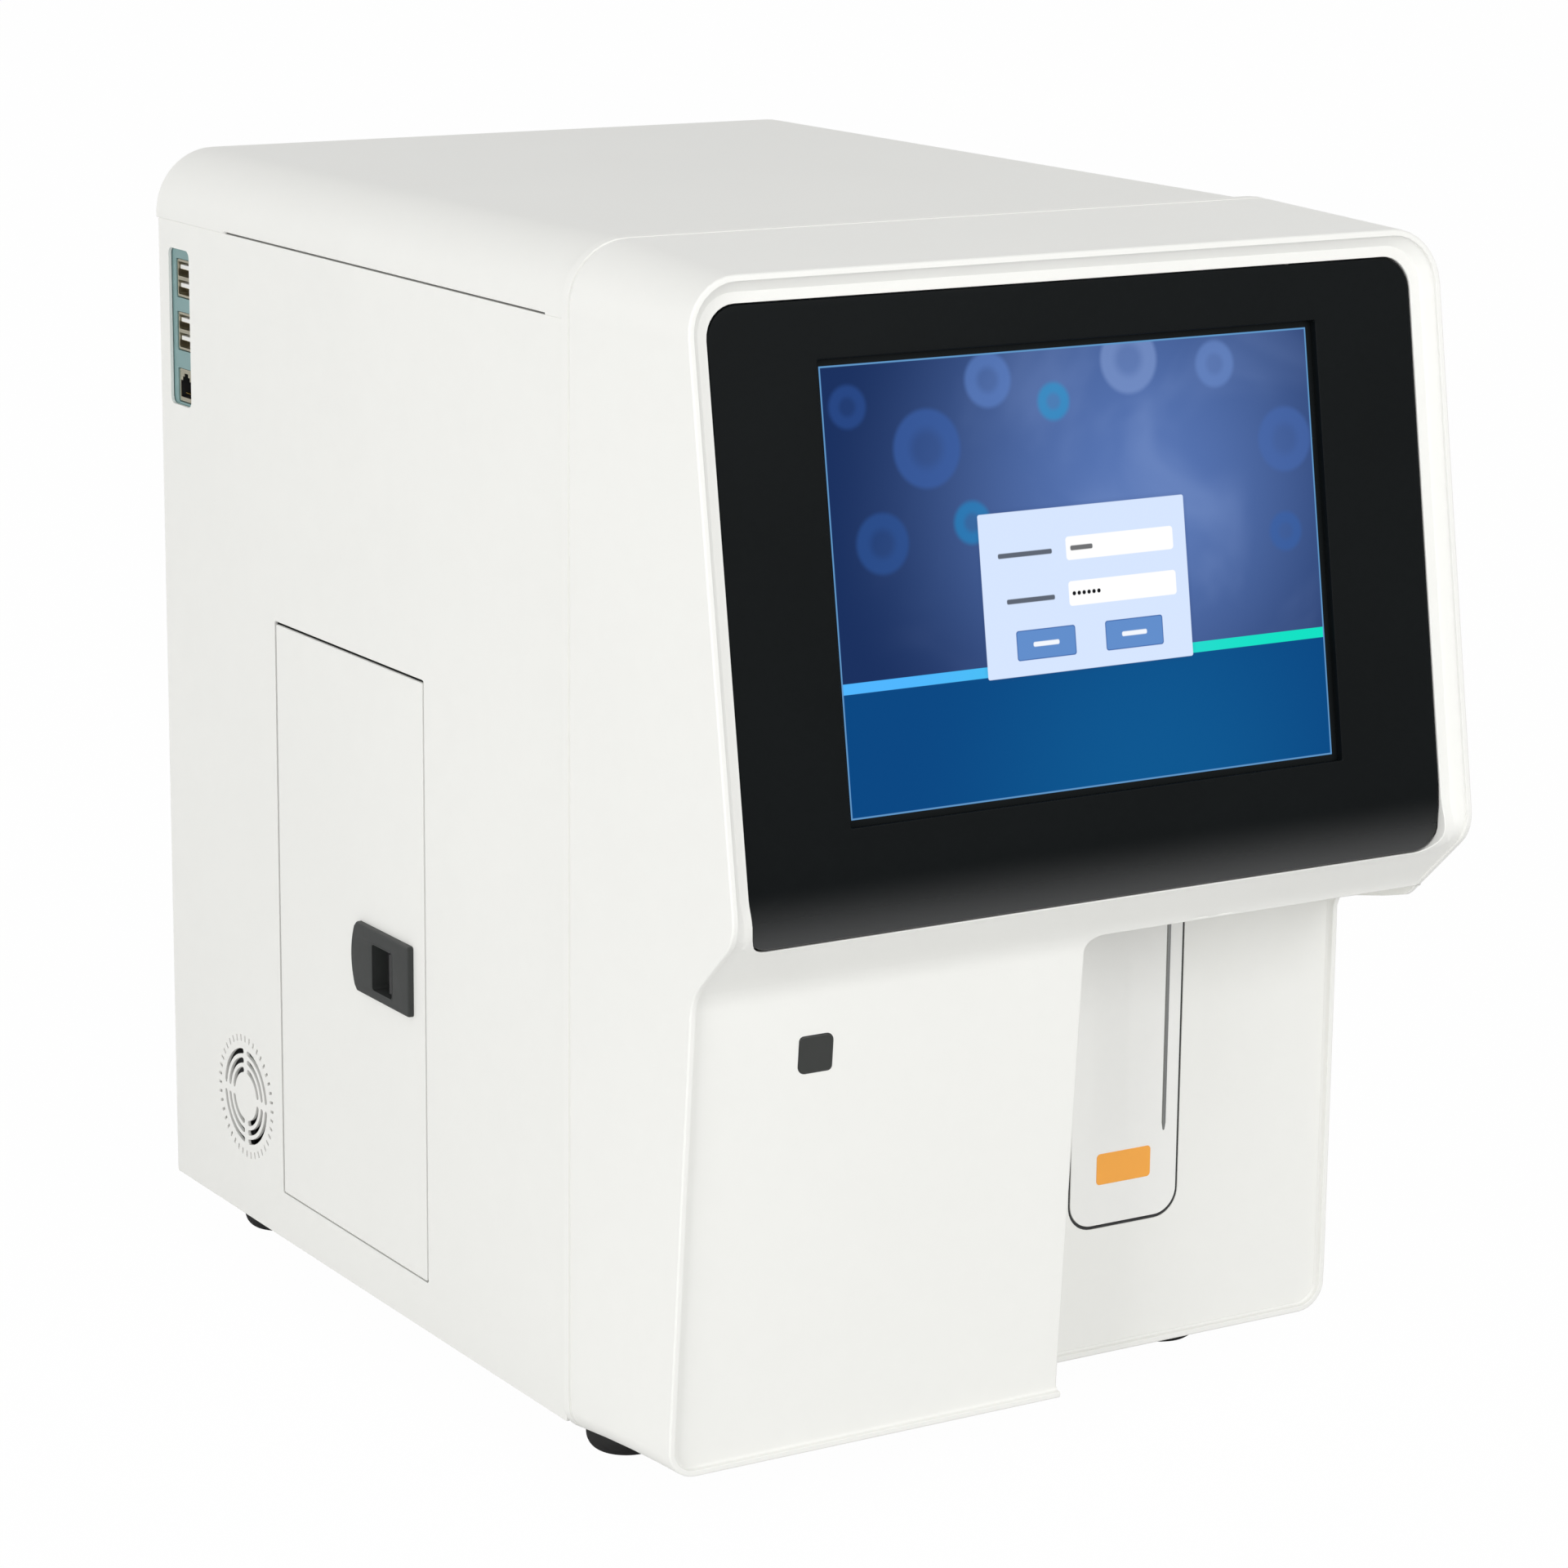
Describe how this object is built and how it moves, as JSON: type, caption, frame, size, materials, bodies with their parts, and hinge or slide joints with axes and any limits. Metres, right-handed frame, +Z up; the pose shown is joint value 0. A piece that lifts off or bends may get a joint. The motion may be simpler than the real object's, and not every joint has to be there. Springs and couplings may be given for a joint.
{
  "type": "hematology analyzer",
  "caption": "Bench-top blood cell analyzer with a leaning touch display, an open bay with a sampling needle and start key, a reagent door with a latch, and side service ports.",
  "frame": {"origin": "on the bench under the middle of the machine: midway between its side walls and midway between its chin and the hose fittings at the back", "axes": "+X to the right of a person who faces the screen, +Y to the back, +Z up"},
  "size_m": [0.325, 0.4838, 0.4655],
  "materials": {
    "panel_white": "fine satin powder coat",
    "cover_white": "satin moulded plastic",
    "bezel_black": "semi-gloss black",
    "black_plastic": "fine satin black",
    "screen_glass": "glossy touch panel over a blue picture",
    "zinc_steel": "zinc-plated sheet",
    "light_box": "metal case that is mostly air inside",
    "port_plate": "blue-grey zinc plating",
    "socket_metal": "plated shell",
    "stainless": "polished stainless",
    "motor_black": "satin black",
    "fan_black": "satin black",
    "green_board": "green circuit board",
    "clear_plastic": "translucent",
    "bottle_plastic": "milky blow-moulded plastic",
    "blue_cap": "satin",
    "red_cap": "satin",
    "rubber": "matt black",
    "grey_plastic": "satin grey"
  },
  "bodies": {
    "cabinet": {"left_side_panel": "panel_white", "right_side_panel": "panel_white", "rear_panel": "panel_white", "top_cover": "panel_white", "front_cover": "cover_white", "display_bezel": "bezel_black", "status_lamp_lens": "black_plastic", "start_switch": "black_plastic", "power_inlet": "black_plastic", "touch_glass": "screen_glass", "base_tray": "zinc_steel", "front_frame": "zinc_steel", "door_hinge_lower": "zinc_steel", "door_hinge_upper": "zinc_steel", "key_bracket": "zinc_steel", "sampler_frame": "zinc_steel", "fluidics_plate": "zinc_steel", "syringe_clamp": "zinc_steel", "screen_pan": "zinc_steel", "power_supply": "light_box", "lcd_module": "light_box", "port_plate": "port_plate", "usb_socket_upper": "socket_metal", "usb_socket_lower": "socket_metal", "network_socket": "socket_metal", "probe_guide_rod": "stainless", "lift_motor": "motor_black", "syringe_motor": "motor_black", "side_fan_frame": "fan_black", "rear_fan_frame": "fan_black", "valve_bank": "fan_black", "waste_pump": "fan_black", "diluent_pump": "fan_black", "io_board": "green_board", "main_board": "green_board", "probe_wash_block": "clear_plastic", "white_cell_bath": "clear_plastic", "red_cell_bath": "clear_plastic", "syringe_barrel": "clear_plastic", "lyse_bottle": "bottle_plastic", "cleaner_bottle": "bottle_plastic", "cleaner_cap": "blue_cap", "lyse_cap": "red_cap", "foot_front_left": "rubber", "foot_front_right": "rubber", "foot_rear_left": "rubber", "foot_rear_right": "rubber", "reagent_compartment": "grey_plastic", "hose_bulkhead": "grey_plastic"},
    "door": {"service_door": "panel_white", "latch_frame": "black_plastic"},
    "latch": {"latch_slide": "black_plastic"},
    "start_key": {"start_key": "cover_white"},
    "probe": {"sample_probe": "stainless", "probe_carriage": "black_plastic"},
    "lift_screw": {"lift_screw": "stainless"},
    "side_fan_rotor": {"side_fan_rotor": "fan_black"},
    "rear_fan_rotor": {"rear_fan_rotor": "fan_black"},
    "syringe_plunger": {"syringe_plunger": "stainless"},
    "power_rocker": {"power_rocker": "black_plastic"}
  },
  "joints": [
    {"name": "door_hinge", "type": "hinge", "parent": "cabinet", "child": "door", "pos_m": [-0.156, 0.1182, 0.1627], "axis": [0, 0, -1], "range_deg": [0, 100]},
    {"name": "latch_travel", "type": "slide", "parent": "door", "child": "latch", "axis": [0, 1, 0], "range_m": [0, 0.006], "stiffness_N_per_m": 150, "springref_m": -0.003},
    {"name": "start_key_press", "type": "hinge", "parent": "cabinet", "child": "start_key", "pos_m": [0.064, -0.15, 0.186], "axis": [1, 0, 0], "range_deg": [0, 1.5], "stiffness_Nm_per_rad": 2, "springref_deg": -2.86},
    {"name": "probe_lift", "type": "slide", "parent": "cabinet", "child": "probe", "axis": [0, 0, 1], "range_m": [0, 0.094]},
    {"name": "lift_screw_turn", "type": "hinge", "parent": "cabinet", "child": "lift_screw", "pos_m": [0.086, -0.168, 0.276], "axis": [0, 0, 1], "continuous": true},
    {"name": "side_fan_spin", "type": "hinge", "parent": "cabinet", "child": "side_fan_rotor", "pos_m": [-0.15, 0.1598, 0.0738], "axis": [1, 0, 0], "continuous": true},
    {"name": "rear_fan_spin", "type": "hinge", "parent": "cabinet", "child": "rear_fan_rotor", "pos_m": [-0.06, 0.215, 0.33], "axis": [0, 1, 0], "continuous": true},
    {"name": "syringe_stroke", "type": "slide", "parent": "cabinet", "child": "syringe_plunger", "axis": [0, 0, 1], "range_m": [0, 0.035]},
    {"name": "power_rocker_tilt", "type": "hinge", "parent": "cabinet", "child": "power_rocker", "pos_m": [0.1, 0.2293, 0.082], "axis": [1, 0, 0], "range_deg": [0, 12]}
  ],
  "couplings": [
    {"joint": "lift_screw_turn", "follows": "probe_lift", "rad_per_m": 314.16}
  ]
}
